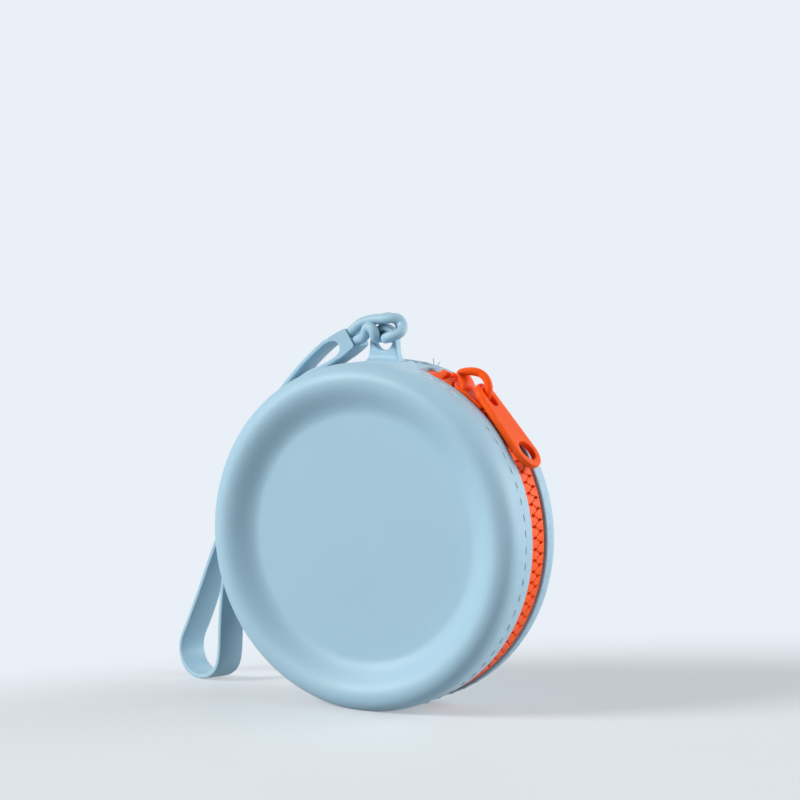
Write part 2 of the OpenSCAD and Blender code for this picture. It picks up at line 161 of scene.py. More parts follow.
def sums(tree, operation, a, b=None, c=None):
    node = add_node(tree, "ShaderNodeMath", operation=operation)
    for socket, value in zip(node.inputs, (a, b, c)):
        if value is None:
            continue
        if isinstance(value, (int, float)):
            socket.default_value = value
        else:
            tree.links.new(value, socket)
    return node.outputs[0]


def object_place(tree):
    return add_node(tree, "ShaderNodeTexCoord").outputs["Object"]


def split(tree, place):
    axes = add_node(tree, "ShaderNodeSeparateXYZ")
    tree.links.new(place, axes.inputs[0])
    return [axes.outputs[axis] for axis in "XYZ"]


def height_and_clock(tree, x, z):
    """Height above the middle of the body, and clock angle in radians."""
    up = sums(tree, "SUBTRACT", z, SEAT_Z / 1000)
    return up, sums(tree, "ARCTAN2", x, up)


def grain(tree, place, scale, detail=2.0):
    noise = add_node(tree, "ShaderNodeTexNoise")
    set_inputs(noise, {"Scale": scale, "Detail": detail})
    tree.links.new(place, noise.inputs["Vector"])
    return noise.outputs["Fac"]


def tint(tree, shader, factor, dark, light):
    blend = add_node(tree, "ShaderNodeMix", data_type="RGBA")
    set_inputs(blend, {"A": (*dark, 1), "B": (*light, 1)})
    tree.links.new(factor, blend.inputs["Factor"])
    tree.links.new(blend.outputs["Result"], shader.inputs["Base Color"])


def vary_roughness(tree, shader, factor, low, high):
    spread = add_node(tree, "ShaderNodeMapRange")
    set_inputs(spread, {"To Min": low, "To Max": high})
    tree.links.new(factor, spread.inputs["Value"])
    tree.links.new(spread.outputs["Result"], shader.inputs["Roughness"])


def raise_surface(tree, shader, height, strength, distance):
    bump = add_node(tree, "ShaderNodeBump")
    set_inputs(bump, {"Strength": strength, "Distance": distance})
    tree.links.new(height, bump.inputs["Height"])
    tree.links.new(bump.outputs["Normal"], shader.inputs["Normal"])


def press_seams(tree, place, height):
    """Presses the skin in along both seams, and a little more beside each stitch."""
    x, y, z = split(tree, place)
    up, clock = height_and_clock(tree, x, z)
    turns = 2 * math.pi * BODY_R / STITCH_PITCH
    wave = sums(tree, "COSINE", sums(tree, "MULTIPLY_ADD", clock, turns, PUCKER_PHASE))
    wave = sums(tree, "MULTIPLY_ADD", wave, 0.35, 0.65)
    started = sums(tree, "GREATER_THAN", clock, math.radians(SLOT_FROM - 1))
    depth = sums(tree, "MULTIPLY", started, PUCKER_DEPTH)
    radius_squared = sums(tree, "MULTIPLY_ADD", up, up, sums(tree, "MULTIPLY", x, x))
    outside = sums(tree, "GREATER_THAN", radius_squared, (PUCKER_FROM_R / 1000) ** 2)
    for seam_y in (SEAM_FRONT_Y, SEAM_REAR_Y):
        off = sums(tree, "ABSOLUTE", sums(tree, "SUBTRACT", y, seam_y / 1000))
        off = sums(tree, "DIVIDE", off, PUCKER_WIDTH / 1000)
        off_squared = sums(tree, "MULTIPLY", off, off)
        dip = sums(tree, "EXPONENT", sums(tree, "MULTIPLY", off_squared, -1.0))
        dip = sums(tree, "MULTIPLY", sums(tree, "MULTIPLY", dip, wave), depth)
        height = sums(tree, "SUBTRACT", height, sums(tree, "MULTIPLY", dip, outside))
    return height


def silicone(name, dark, light, stitched=False):
    finish, tree, shader = new_finish(name, light, 0.5)
    if stitched:
        source = add_node(tree, "ShaderNodeAttribute", attribute_name="rest_place")
        place = source.outputs["Vector"]
    else:
        place = object_place(tree)
    tint(tree, shader, grain(tree, place, 45), dark, light)
    vary_roughness(tree, shader, grain(tree, place, 160), 0.44, 0.56)
    set_inputs(shader, {
        "Subsurface Weight": 0.12, "Subsurface Radius": (0.7, 1.0, 1.2),
        "Subsurface Scale": 0.0015, "Specular IOR Level": 0.4,
        "Sheen Weight": 0.12, "Sheen Roughness": 0.5,
    })
    height = sums(tree, "MULTIPLY", grain(tree, place, 2600, 3), 0.10)
    if stitched:
        height = press_seams(tree, place, height)
    raise_surface(tree, shader, height, 0.6, 0.0002)
    return finish


def moulded_plastic(name, dark, light, roughness):
    finish, tree, shader = new_finish(name, light, roughness)
    place = object_place(tree)
    tint(tree, shader, grain(tree, place, 220), dark, light)
    vary_roughness(tree, shader, grain(tree, place, 700), roughness - 0.05, roughness + 0.06)
    set_inputs(shader, {
        "Subsurface Weight": 0.2, "Subsurface Radius": (1.2, 0.5, 0.25),
        "Subsurface Scale": 0.001, "Specular IOR Level": 0.12,
    })
    raise_surface(tree, shader, grain(tree, place, 1500, 3), 0.25, 0.00005)
    return finish


def woven_tape(name, dark, light):
    """Crossed threads. weft_step is an angle: half a millimetre on a radius of 40."""
    warp_pitch = 0.00045
    weft_step = 0.5 / 40
    finish, tree, shader = new_finish(name, light, 0.8)
    x, y, z = split(tree, object_place(tree))
    clock = height_and_clock(tree, x, z)[1]
    warp = sums(tree, "SINE", sums(tree, "MULTIPLY", y, 2 * math.pi / warp_pitch))
    weft = sums(tree, "SINE", sums(tree, "MULTIPLY", clock, 2 * math.pi / weft_step))
    weave = sums(tree, "MULTIPLY_ADD", sums(tree, "MULTIPLY", warp, weft), 0.5, 0.5)
    tint(tree, shader, weave, dark, light)
    set_inputs(shader, {"Sheen Weight": 0.25})
    raise_surface(tree, shader, weave, 0.8, 0.00012)
    return finish


def spun_thread(name, dark, light):
    finish, tree, shader = new_finish(name, light, 0.7)
    twist = add_node(tree, "ShaderNodeTexWave", bands_direction="DIAGONAL")
    set_inputs(twist, {"Scale": 900})
    tree.links.new(object_place(tree), twist.inputs["Vector"])
    tint(tree, shader, twist.outputs["Fac"], dark, light)
    set_inputs(shader, {"Sheen Weight": 0.2})
    raise_surface(tree, shader, twist.outputs["Fac"], 0.6, 0.00006)
    return finish


BODY_SILICONE = silicone(
    "pale_blue_silicone", (0.335, 0.535, 0.665), (0.36, 0.56, 0.69), stitched=True,
)
STRAP_SILICONE = silicone("strap_silicone", (0.325, 0.525, 0.65), (0.35, 0.55, 0.675))
ORANGE = moulded_plastic("orange_zip_plastic", (0.94, 0.098, 0.008), (1.0, 0.115, 0.012), 0.36)
TAPE = woven_tape("orange_tape_weave", (0.45, 0.05, 0.01), (0.75, 0.10, 0.025))
THREAD = spun_thread("blue_thread", (0.4, 0.58, 0.69), (0.56, 0.74, 0.84))


# Making pieces

def rim_place(clock, radius, y=0.0):
    """Frame on the rim: X clockwise along it, Y to the back, Z outwards."""
    turn = Matrix.Rotation(math.radians(clock), 4, "Y")
    return turn @ Matrix.Translation((0, y, radius))


def clock_of(place):
    return math.degrees(math.atan2(place.x, place.z)) % 360


def finish_piece(
    name, bm, finish, slot, nodes=(), body=None, sharp=SHARP_EDGE, merge=True, turn=True,
):
    """Makes a piece of the drawn mesh. merge joins doubled corners, turn faces it outwards."""
    if merge:
        bmesh.ops.remove_doubles(bm, verts=bm.verts[:], dist=MERGE_DIST)
    if turn:
        bmesh.ops.recalc_face_normals(bm, faces=bm.faces[:])
    bmesh.ops.transform(bm, matrix=SEAT, verts=bm.verts[:])
    mesh = bpy.data.meshes.new(name)
    bm.to_mesh(mesh)
    bm.free()
    mesh.shade_smooth()
    mesh.set_sharp_from_angle(angle=math.radians(sharp))
    mesh.materials.append(finish)
    piece = bpy.data.objects.new(name, mesh)
    scene.collection.objects.link(piece)
    if nodes:
        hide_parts(*nodes)
    if body:
        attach(piece, body)
    return piece


def steady_shading(piece):
    shading = piece.modifiers.new("steady_shading", "WEIGHTED_NORMAL")
    shading.keep_sharp = True


def round_edges(bm, edges, rounding, segments):
    bmesh.ops.bevel(
        bm, geom=edges, offset=rounding, offset_type="OFFSET", segments=segments,
        profile=0.5, affect="EDGES", clamp_overlap=True, material=-1,
    )


def plate(outline, holes, low, high, rounding, segments=3, keep=None):
    """Flat plate between two heights, with its rims rounded. keep tells which rims to round."""
    bm = bmesh.new()
    rims = []
    for points in [outline, *holes]:
        corners = [bm.verts.new((x, y, low)) for x, y in points]
        rims += [bm.edges.new(pair) for pair in zip(corners, corners[1:] + corners[:1])]
    bmesh.ops.triangle_fill(bm, use_beauty=True, use_dissolve=False, edges=rims)
    lifted = bmesh.ops.extrude_face_region(bm, geom=bm.faces[:], use_keep_orig=True)
    moved = [part for part in lifted["geom"] if isinstance(part, bmesh.types.BMVert)]
    bmesh.ops.translate(bm, verts=moved, vec=(0, 0, high - low))
    bmesh.ops.recalc_face_normals(bm, faces=bm.faces[:])
    rims = []
    for edge in bm.edges:
        level = abs(edge.verts[0].co.z - edge.verts[1].co.z) < 1e-4
        if level and edge.is_manifold and edge.calc_face_angle() > math.radians(RIM_TURN):
            if keep is None or keep(edge):
                rims.append(edge)
    round_edges(bm, rims, rounding, segments)
    return bm


def slice_at(bm, axis, places):
    """Cuts the mesh at each place along an axis, so that it can follow a curve."""
    for place in places:
        bmesh.ops.bisect_plane(
            bm, geom=bm.verts[:] + bm.edges[:] + bm.faces[:], dist=1e-5,
            plane_co=axis * place, plane_no=axis,
        )


def arc(cx, cy, radius, start, end, steps):
    """Points on an arc, in degrees anticlockwise from +X."""
    turns = [math.radians(start + (end - start) * i / steps) for i in range(steps + 1)]
    return [(cx + radius * math.cos(turn), cy + radius * math.sin(turn)) for turn in turns]


def circle(cx, cy, radius, count):
    return arc(cx, cy, radius, 0, 360 - 360 / count, count - 1)


def box(x0, x1, y0, y1):
    return [(x0, y0), (x1, y0), (x1, y1), (x0, y1)]


def mirrored(points):
    """The same points on the other side of X = 0, in the opposite order."""
    return [(-x, y) for x, y in reversed(points)]


def gather(bm, other):
    """Adds the mesh of other to bm, and frees other."""
    mesh = bpy.data.meshes.new("gathered")
    other.to_mesh(mesh)
    other.free()
    bm.from_mesh(mesh)
    bpy.data.meshes.remove(mesh)


def row_of(template, places):
    """One copy of the template at each place. Frees the template."""
    mesh = bpy.data.meshes.new("template")
    template.to_mesh(mesh)
    template.free()
    bm = bmesh.new()
    for place in places:
        before = len(bm.verts)
        bm.from_mesh(mesh)
        bm.verts.ensure_lookup_table()
        bmesh.ops.transform(bm, matrix=place, verts=bm.verts[before:])
    bpy.data.meshes.remove(mesh)
    return bm


def first_ring(bm, spots):
    """Closed ring of corners with a face across it. Gives its corners and its edges."""
    ring = [bm.verts.new(spot) for spot in spots]
    edges = [bm.edges.new(pair) for pair in zip(ring, ring[1:] + ring[:1])]
    bm.faces.new(ring)
    return ring, edges


def next_ring(bm, edges):
    """Pulls a new ring out of the last one, in the same place. Gives its corners and its edges."""
    pulled = bmesh.ops.extrude_edge_only(bm, edges=edges)["geom"]
    corners = [part for part in pulled if isinstance(part, bmesh.types.BMVert)]
    edges = [part for part in pulled if isinstance(part, bmesh.types.BMEdge)]
    return corners, [edge for edge in edges if all(end in corners for end in edge.verts)]


def close_end(bm, edges):
    bmesh.ops.holes_fill(bm, edges=edges, sides=0)
    bmesh.ops.recalc_face_normals(bm, faces=bm.faces[:])
    return bm


def sweep(outline, places):
    """Pulls a closed outline through a row of frames."""
    bm = bmesh.new()
    edges = first_ring(bm, [places[0] @ Vector((x, y, 0)) for x, y in outline])[1]
    for before, after in zip(places, places[1:]):
        corners, edges = next_ring(bm, edges)
        bmesh.ops.transform(bm, matrix=after @ before.inverted(), verts=corners)
    return close_end(bm, edges)


def loft(rings):
    """Skins a row of closed rings that have the same number of points."""
    bm = bmesh.new()
    corners, edges = first_ring(bm, rings[0])
    order = {corner: i for i, corner in enumerate(corners)}
    for spots in rings[1:]:
        before = {tuple(corner.co): i for corner, i in order.items()}
        corners, edges = next_ring(bm, edges)
        order = {corner: before[tuple(corner.co)] for corner in corners}
        for corner, i in order.items():
            corner.co = spots[i]
    return close_end(bm, edges)


# Strap: the route points of the round cord and of the flat band

COLLAR_AT = Vector((-8, 2, 47.5))
COLLAR_FALL = math.radians(32)
COLLAR_DIR = Vector((-math.cos(COLLAR_FALL), 0, -math.sin(COLLAR_FALL)))
COLLAR_UP = Vector((-math.sin(COLLAR_FALL), 0, math.cos(COLLAR_FALL)))
COLLAR_LEN = 4.8
COLLAR_CORD_H = 5.2
COLLAR_BAND_H = 6.0
COLLAR_CORNER_R = 0.7
FORK_LEN = 0.6
LEG_OFF = COLLAR_BAND_H / 2 - BAND_T / 2
BAND_TURN = 20
BAND_TURN_FROM_Z = 5
BAND_TURN_FALL = 30
ROUTE_PARTS = 6

CORD_ROUTE = [
    (-7.5, 0.2, 49.6), (-6.1, 0.3, 50.7), (-4.4, 0.4, 51.4), (-1.6, 0, 51.9),
    (1, -0.3, 52.1), (2.9, 0, 52.3), (4.2, 0.7, 52.1), (5, 1.1, 51.2),
    (5.6, 0.6, 50.1), (5.7, -0.4, 49.1), (4.9, -1.2, 48.4), (3.8, -1.5, 48.1),
    (2.6, -1.4, 47.7), (1.6, -0.6, 47.4), (1.25, 0.8, 47.5), (1.25, 3.2, 47.5),
    (1.9, 4.8, 48.2), (2.6, 5, 49.9), (2.2, 3.8, 51.7), (0.3, 2.8, 52.3),
    (-1.5, 3.6, 51.8), (-2.2, 4.9, 50.2), (-1.8, 4.9, 48.4), (-1.25, 3.2, 47.5),
    (-1.25, 0.8, 47.5), (-1.15, -0.3, 47.35), (-1, -1.2, 47.7), (-1, -1.7, 48.7),
    (-1.5, -1.75, 49.7), (-2.5, -1.5, 50.1), (-3.5, -1.1, 49.5), (-4, -0.7, 48.5),
    (-4.6, -0.4, 47.7), (-5.4, -0.1, 47.2), (-6.3, 0.15, 46.95),
]
BAND_ROUTE = [
    (-16.2, 2.3, 45.4), (-22.8, 3.6, 40.3), (-31.6, 5.4, 31.8), (-38.7, 6.1, 22.6),
    (-43.2, 6, 12), (-45.7, 5.2, 4), (-47.6, 4.6, -2.5), (-50.9, 5.2, -10),
    (-55.2, 6.5, -19.4), (-59.2, 8, -27), (-61.9, 8.8, -32), (-62.5, 9.1, -35.6),
    (-60.8, 8.4, -39), (-57.8, 7.4, -40.7), (-54.6, 6.2, -41), (-51.2, 5, -40.2),
    (-48.2, 3.9, -38), (-46.8, 3.4, -34.4), (-46.4, 3.3, -28), (-45.9, 3.2, -20),
    (-45, 3, -11.5), (-44.1, 3.2, -3), (-43.2, 3.6, 5), (-40.8, 4, 14.6),
    (-36, 4, 24.1), (-29.6, 3.6, 31.6), (-22.2, 2.8, 37.2), (-15, 2.2, 40.5),
]


def smooth_route(points, parts):
    """Smooth curve through all the points, with each span cut in so many parts."""
    points = [Vector(p) for p in points]
    fine = []
    for i in range(len(points) - 1):
        a, b = points[max(i - 1, 0)], points[i]
        c, d = points[i + 1], points[min(i + 2, len(points) - 1)]
        square, cube = 2 * a - 5 * b + 4 * c - d, 3 * b - a - 3 * c + d
        for j in range(parts):
            t = j / parts
            fine.append((2 * b + (c - a) * t + square * t * t + cube * t ** 3) / 2)
    return fine + [points[-1]]


def headings(route, first, last):
    middle = [(route[i + 1] - route[i - 1]).normalized() for i in range(1, len(route) - 1)]
    return [first, *middle, last]


def section_frame(at, across, along):
    """Frame with X across, Z along the route."""
    across = (across - across.dot(along) * along).normalized()
    thick = along.cross(across)
    return Matrix.Translation(at) @ Matrix((across, thick, along)).transposed().to_4x4()


def strap_piece(name, bm, node, body=None, sharp=SHARP_EDGE):
    return finish_piece(name, bm, STRAP_SILICONE, "strap_silicone", [node], body, sharp)


def tied_cord():
    """Round cord: out of the collar, through the knot at the hanger, and back into the collar."""
    fore = Vector((0, -1.8, 0))
    upper = COLLAR_AT + COLLAR_UP * (COLLAR_CORD_H / 4) + fore
    lower = COLLAR_AT - COLLAR_UP * (COLLAR_CORD_H / 4) + fore
    route = smooth_route([upper, *CORD_ROUTE, lower], ROUTE_PARTS)
    along = headings(route, -COLLAR_DIR, COLLAR_DIR)
    across = ALONG_Y
    places = []
    for at, way in zip(route, along):
        place = section_frame(at, across, way)
        across = place.col[0].to_3d()
        places.append(place)
    bm = sweep(circle(0, 0, CORD_SOFT_R, 16), places)
    piece = strap_piece("tied_cord", bm, "strap_cord", sharp=SHARP_ROUND)
    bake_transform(piece)


def band_turn(z):
    """The band turns a little about the vertical on its way down."""
    share = min(max((BAND_TURN_FROM_Z - z) / BAND_TURN_FALL, 0), 1)
    return math.radians(BAND_TURN * share)


def flat_band(collar):
    """Flat band: from one leg of the fork, down and round its loop, back to the other leg."""
    fork = COLLAR_AT + COLLAR_DIR * COLLAR_LEN
    outer = fork + COLLAR_UP * LEG_OFF
    inner = fork - COLLAR_UP * LEG_OFF
    route = [outer, outer + COLLAR_DIR, *BAND_ROUTE, inner + COLLAR_DIR, inner]
    route = smooth_route(route, ROUTE_PARTS)
    places = []
    for at, way in zip(route, headings(route, COLLAR_DIR, -COLLAR_DIR)):
        turn = band_turn(at.z)
        places.append(section_frame(at, Vector((math.sin(turn), math.cos(turn), 0)), way))
    half_w, half_t = BAND_W / 2 - BAND_SOFT, BAND_T / 2 - BAND_SOFT
    outline = []
    for sx, sy, start in ((1, 1, 0), (-1, 1, 90), (-1, -1, 180), (1, -1, 270)):
        outline += arc(sx * half_w, sy * half_t, BAND_SOFT, start, start + 90, 4)
    bm = sweep(outline, places)
    piece = strap_piece("flat_band", bm, "wrist_band", "strap", SHARP_ROUND)


def fork_collar():
    """Drawn with X along the strap and Y up, then turned so that its width runs front to back."""
    half_cord, half_band = COLLAR_CORD_H / 2, COLLAR_BAND_H / 2
    notch = half_band - BAND_T
    reach = COLLAR_LEN + FORK_LEN
    soft = COLLAR_CORNER_R
    waist = (COLLAR_LEN / 2, (half_cord + half_band) / 2)

    def off_the_mouth(edge):
        a, b = (corner.co.x for corner in edge.verts)
        return max(a, b) < reach - 0.01 or a != b

    outline = (
        arc(soft, half_cord - soft, soft, 90, 180, 4)
        + arc(soft, -half_cord + soft, soft, 180, 270, 4)
        + [(waist[0], -waist[1]), (reach, -half_band), (reach, -notch)]
        + arc(reach, 0, notch, 270, 90, 12)[1:-1]
        + [(reach, notch), (reach, half_band), waist]
    )
    bm = plate(outline, [], -BAND_W / 2, BAND_W / 2, BAND_SOFT, keep=off_the_mouth)
    turn = Matrix((COLLAR_DIR, COLLAR_UP, ALONG_Y)).transposed().to_4x4()
    bmesh.ops.transform(bm, matrix=Matrix.Translation(COLLAR_AT) @ turn, verts=bm.verts[:])
    piece = strap_piece("fork_collar", bm, "strap_collar", "strap")
    steady_shading(piece)
    return piece


tied_cord()
flat_band(fork_collar())


# Shell

RECESS_STEPS = 16
CORNER_STEPS = 12
SPIN_STEPS = 180
SLOT_RIM_SOFT = 0.45


def face_line():
    """Radius and height of the skin, from the middle of a face to the side wall."""
    line = [(radius, HALF_T - RECESS_D) for radius in (0, 9, 18, 25)]
    for i in range(RECESS_STEPS + 1):
        share = i / RECESS_STEPS
        line.append((
            RECESS_R + (CREST_R - RECESS_R) * share,
            HALF_T - RECESS_D * (1 + math.cos(math.pi * share)) / 2,
        ))
    for i in range(1, CORNER_STEPS + 1):
        angle = math.pi / 2 * i / CORNER_STEPS
        line.append((
            CREST_R + (BODY_R - CREST_R) * math.sin(angle),
            HALF_T - CORNER_D + CORNER_D * math.cos(angle),
        ))
    return line


def face_outwards(bm):
    """Turns an open skin so that its faces look away from the middle of the body."""
    bmesh.ops.recalc_face_normals(bm, faces=bm.faces[:])
    bm.normal_update()
    outwards = (face.normal.dot(face.calc_center_median()) * face.calc_area() for face in bm.faces)
    if sum(outwards) < 0:
        bmesh.ops.reverse_faces(bm, faces=bm.faces[:])
        bm.normal_update()


def on_wall(place):
    return place.xz.length >= BODY_R - 0.5


def cut_slot(bm, side, edge_y):
    """Takes this half's share of the slot out of the skin, and rounds the slot's corners."""
    thirds = [SLOT_ROUND * k / 3 for k in range(4)]
    slice_at(bm, ALONG_Y, [edge_y - side * d for d in thirds])
    for d in thirds[1:]:
        for clock in (SLOT_FROM + math.degrees(d / BODY_R), SLOT_TO - math.degrees(d / BODY_R)):
            slice_at(bm, rim_place(clock, 0).to_3x3() @ ALONG_X, [0])
    face_outwards(bm)
    inside = []
    for face in bm.faces:
        middle = face.calc_center_median()
        over_slot = SLOT_FROM < clock_of(middle) < SLOT_TO
        if on_wall(middle) and over_slot and side * (middle.y - edge_y) < 0:
            inside.append(face)
    bmesh.ops.delete(bm, geom=inside, context="FACES")
    round_slot_corners(bm, side, edge_y)


def round_slot_corners(bm, side, edge_y):
    """Moves the skin's open edge near each end of the slot on to a quarter circle."""
    for corner in bm.verts:
        if not corner.is_boundary or not on_wall(corner.co):
            continue
        clock = clock_of(corner.co)
        for end, way in ((SLOT_FROM, 1), (SLOT_TO, -1)):
            run = way * math.radians(clock - end) * BODY_R
            rise = side * (edge_y - corner.co.y)
            if not all(-0.01 < reach < SLOT_ROUND + 0.01 for reach in (run, rise)):
                continue
            angle = math.radians(45 + 45 * (run - rise) / SLOT_ROUND)
            run = SLOT_ROUND * (1 - math.cos(angle))
            rise = SLOT_ROUND * (1 - math.sin(angle))
            turned = math.radians(end) + way * run / BODY_R
            corner.co = (
                BODY_R * math.sin(turned), edge_y - side * rise, BODY_R * math.cos(turned),
            )
            break


def half_shell(name, side, nodes):
    """Skin of the front (-1) or back (1) half, with its part of the slot, and then its wall."""
    bm = bmesh.new()
    line = [bm.verts.new((0, side * y, r)) for r, y in face_line()]
    line.append(bm.verts.new((0, ZIP_Y, BODY_R)))
    for pair in zip(line, line[1:]):
        bm.edges.new(pair)
    bmesh.ops.spin(
        bm, geom=bm.verts[:] + bm.edges[:], cent=(0, 0, 0), axis=(0, 1, 0), dvec=(0, 0, 0),
        angle=2 * math.pi, steps=SPIN_STEPS, use_merge=True, use_duplicate=False,
    )
    bmesh.ops.remove_doubles(bm, verts=bm.verts[:], dist=1e-4)
    cut_slot(bm, side, ZIP_Y + side * SLOT_HALF)
    slice_at(bm, ALONG_Z, [-SEAT_Z])
    for corner in bm.verts:
        corner.co.z = max(corner.co.z, -SEAT_Z)
    bm.normal_update()
    bmesh.ops.solidify(bm, geom=bm.faces[:], thickness=WALL)
    rims = []
    for edge in bm.edges:
        outer = all(abs(end.co.xz.length - BODY_R) < 0.02 for end in edge.verts)
        seam = all(abs(end.co.y - ZIP_Y) < 0.001 for end in edge.verts)
        if not outer or seam or not edge.is_manifold:
            continue
        if edge.calc_face_angle() > math.radians(SLOT_RIM_TURN):
            rims.append(edge)
    round_edges(bm, rims, SLOT_RIM_SOFT, 4)
    piece = finish_piece(
        name, bm, BODY_SILICONE, "silicone_shell", nodes, merge=False, turn=False,
    )
    store_rest_place(piece)
    return piece


def store_rest_place(piece):
    """Keeps where each corner is at rest, so that the finish stays in place when it bends."""
    place = piece.data.attributes.new("rest_place", "FLOAT_VECTOR", "POINT")
    for corner, spot in zip(piece.data.vertices, place.data):
        spot.vector = corner.co


back_half = half_shell("back_half", 1, ["shell_body"])
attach(back_half, "shell")
front_half = half_shell("front_half", -1, ["flex_web", "shell_flap"])
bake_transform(front_half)


# Hanger

HANGER_EYE_Z = 47.0
HANGER_EYE_R = 2.6
HANGER_EYE_SQUASH = 0.75
HANGER_HEAD_R = 3.7
HANGER_FOOT_HALF = 4.6
HANGER_FOOT_Z = BODY_R - 0.7
HANGER_Y = 2.0
HANGER_T = 2.5
HANGER_SOFT = 0.5
FLARE_STEPS = 8

# The foot thickens towards the wall: how high, from how far under the wall, and where it is cut
FILLET_H = 1.4
FILLET_UNDER = 0.15
FILLET_CUTS = (-0.3, 0, 0.15, 0.35, 0.6, 0.9, 1.3)


def hanger():
    """Drawn with X across and Y up, from just inside the wall to its round head."""
    flare = []
    for i in range(FLARE_STEPS):
        share = i / FLARE_STEPS
        half = HANGER_HEAD_R + (HANGER_FOOT_HALF - HANGER_HEAD_R) * (1 - share) ** 2.2
        flare.append((half, HANGER_FOOT_Z + (HANGER_EYE_Z - HANGER_FOOT_Z) * share))
    outline = flare + arc(0, HANGER_EYE_Z, HANGER_HEAD_R, 0, 180, 20) + mirrored(flare)
    eye = [
        (x, min(z, HANGER_EYE_Z + HANGER_EYE_SQUASH * (z - HANGER_EYE_Z)))
        for x, z in circle(0, HANGER_EYE_Z, HANGER_EYE_R, 24)
    ]
    bm = plate(outline, [eye], -HANGER_T / 2, HANGER_T / 2, HANGER_SOFT)
    slice_at(bm, ALONG_Y, [BODY_R + rise for rise in FILLET_CUTS])
    for corner in bm.verts:
        low = min(max(1 - (corner.co.y - BODY_R + FILLET_UNDER) / FILLET_H, 0), 1)
        corner.co.z *= 1 + low ** 2.5
    place = Matrix.Translation((0, HANGER_Y, 0)) @ Matrix.Rotation(math.radians(90), 4, "X")
    bmesh.ops.transform(bm, matrix=place, verts=bm.verts[:])
    piece = finish_piece("hanger", bm, STRAP_SILICONE, "silicone_shell", [], "shell")
    steady_shading(piece)


hanger()


# Sewing

STITCH_ANGLE = math.degrees(STITCH_PITCH / BODY_R)
STITCH_MARGIN = 1.6
STITCH_COUNT = math.floor((SLOT_TO - SLOT_FROM - 2 * STITCH_MARGIN) / STITCH_ANGLE)
STITCH_STEPS = 8
STITCH_RISE = 0.36
STITCH_SINK = 0.27
STITCH_THREAD_R = 0.22
SEAM_FRONT_SUNK = 0.04
SEAM_REAR_SUNK = 0.18

# Stitches that close the rear seam round the slot's top end: stitches along, share across
END_STITCHES = [(0.4, 0.62), (0.8, 0.36), (0.95, 0.1)]
END_REACH = 7.5
END_PROUD = 0.08

# Loose ends of thread: lean, length
LOOSE_ENDS = [(-0.25, 2.1), (0.3, 1.7)]
TAIL_STEPS = 6
TAIL_THREAD_R = 0.12
TAIL_SWAY = 0.15
TAIL_SUNK = 0.2
TAIL_GAP = 0.4


def thread_along(route, radius, points, first, last):
    """Thread of so many points round, which leaves and ends in the given directions."""
    along = headings(route, first.normalized(), last.normalized())
    places = [section_frame(at, ALONG_Y, way) for at, way in zip(route, along)]
    return sweep(circle(0, 0, radius, points), places)


def stitch_template():
    """One stitch: thread that comes up through the wall, runs along it and goes down again."""
    route = []
    for i in range(STITCH_STEPS + 1):
        share = i / STITCH_STEPS
        rise = STITCH_RISE * math.sin(math.pi * share) ** 0.6
        route.append(Vector((STITCH_LEN * (share - 0.5), 0, rise - STITCH_SINK)))
    return thread_along(route, STITCH_THREAD_R, 8, Vector((0.5, 0, 1)), Vector((0.5, 0, -1)))


def stitch_places(y, depth):
    return [
        rim_place(SLOT_FROM + STITCH_MARGIN + STITCH_ANGLE * (i + 0.5), BODY_R - depth, y)
        for i in range(STITCH_COUNT)
    ]


def thread_piece(name, bm, node, body):
    finish_piece(
        name, bm, THREAD, "blue_thread", [node], body, sharp=SHARP_ROUND, merge=False,
    )


def seams():
    front = row_of(stitch_template(), stitch_places(SEAM_FRONT_Y, SEAM_FRONT_SUNK))
    thread_piece("front_stitches", front, "seam_front", "flap")
    ends = [
        rim_place(SLOT_FROM - STITCH_ANGLE * along, BODY_R + END_PROUD, ZIP_Y + END_REACH * across)
        for along, across in END_STITCHES
    ]
    rear = row_of(stitch_template(), stitch_places(SEAM_REAR_Y, SEAM_REAR_SUNK) + ends)
    thread_piece("rear_stitches", rear, "seam_rear", "shell")


def loose_threads():
    bm = bmesh.new()
    for i, (lean, length) in enumerate(LOOSE_ENDS):
        route = []
        for k in range(TAIL_STEPS + 1):
            aside = lean * (k / TAIL_STEPS) ** 2 * length
            rise = length * k / TAIL_STEPS - TAIL_SUNK
            route.append(Vector((aside, TAIL_SWAY * math.sin(k), rise)))
        tail = thread_along(route, TAIL_THREAD_R, 6, ALONG_Z, Vector((lean, 0, 1)))
        spot = rim_place(SLOT_FROM + i + 1, BODY_R, ZIP_Y + SLOT_HALF + TAIL_GAP * (i + 1))
        bmesh.ops.transform(tail, matrix=spot, verts=tail.verts[:])
        gather(bm, tail)
    thread_piece("loose_threads", bm, "thread_tails", "shell")


seams()
loose_threads()


# Zip

PITCH_ANGLE = math.degrees(TOOTH_PITCH / TOOTH_MID_R)
ROW_FROM = SLOT_FROM + STOP_ANGLE
TOOTH_COUNT = math.floor((SLOT_TO - STOP_ANGLE - ROW_FROM) / PITCH_ANGLE)
TOOTH_TILT = 15

# The rows part under the slider: they start this share of its length from its tail, and are
# full apart this share from its mouth
TAIL_SHARE = 0.31
MOUTH_SHARE = 0.19
SLIDER_HALF = math.degrees(SLIDER_HALF_LEN / BODY_R)
PART_TO = SLIDER_CLOCK + SLIDER_HALF - 2 * SLIDER_HALF * TAIL_SHARE
PART_FROM = SLIDER_CLOCK - SLIDER_HALF + 2 * SLIDER_HALF * MOUTH_SHARE
PART_MAX = SLOT_HALF - CHAIN_HALF - 0.1

# How far the teeth stand out of their usual place, by clock angle: the tape dips at its sewn
# end, and is pushed outwards where the slider parts the rows
TOOTH_RISES = [
    (15, -0.7), (17.5, -0.3), (21.2, 0.9), (24.9, 1.2), (26.8, 0.8), (28.6, 0.1),
    (30, 0), (180, 0),
]


